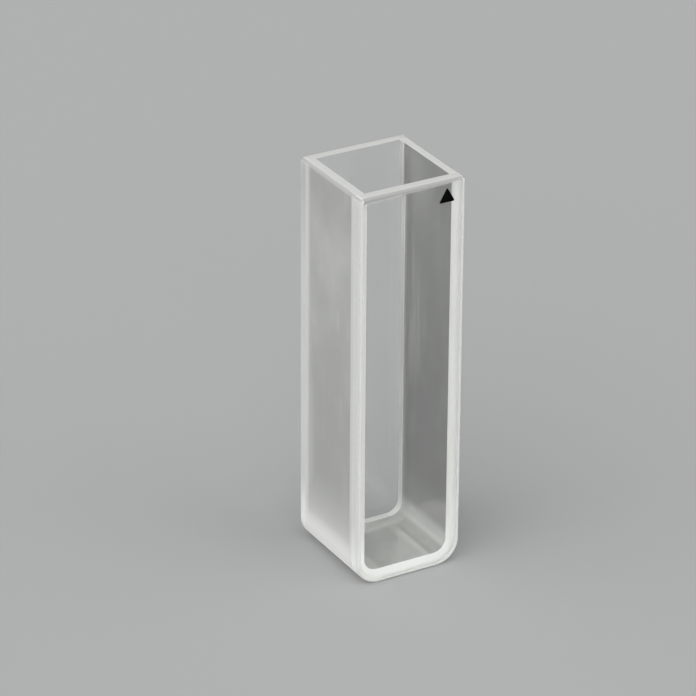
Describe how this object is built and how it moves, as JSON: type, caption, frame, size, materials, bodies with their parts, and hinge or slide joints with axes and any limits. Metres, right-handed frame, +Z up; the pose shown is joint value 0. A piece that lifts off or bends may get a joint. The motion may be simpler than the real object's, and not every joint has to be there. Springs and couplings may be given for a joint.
{
  "type": "cuvette",
  "caption": "Tall square quartz cell, open at the top, with two ground sides, two clear windows and rounded lower edges.",
  "frame": {"origin": "centre of the square base, on the surface the cell stands on", "axes": "+Z up along the cell to its open rim; the clear windows face -Y and +Y, so light passes along Y; the ground sides face -X and +X"},
  "size_m": [0.0126, 0.0126, 0.045],
  "materials": {
    "ground_quartz": "fused quartz, fine ground outside faces, milky white",
    "polished_quartz": "fused quartz, polished clear"
  },
  "bodies": {
    "root": {"u_frame": "ground_quartz", "front_window": "polished_quartz", "rear_window": "polished_quartz"}
  },
  "joints": []
}
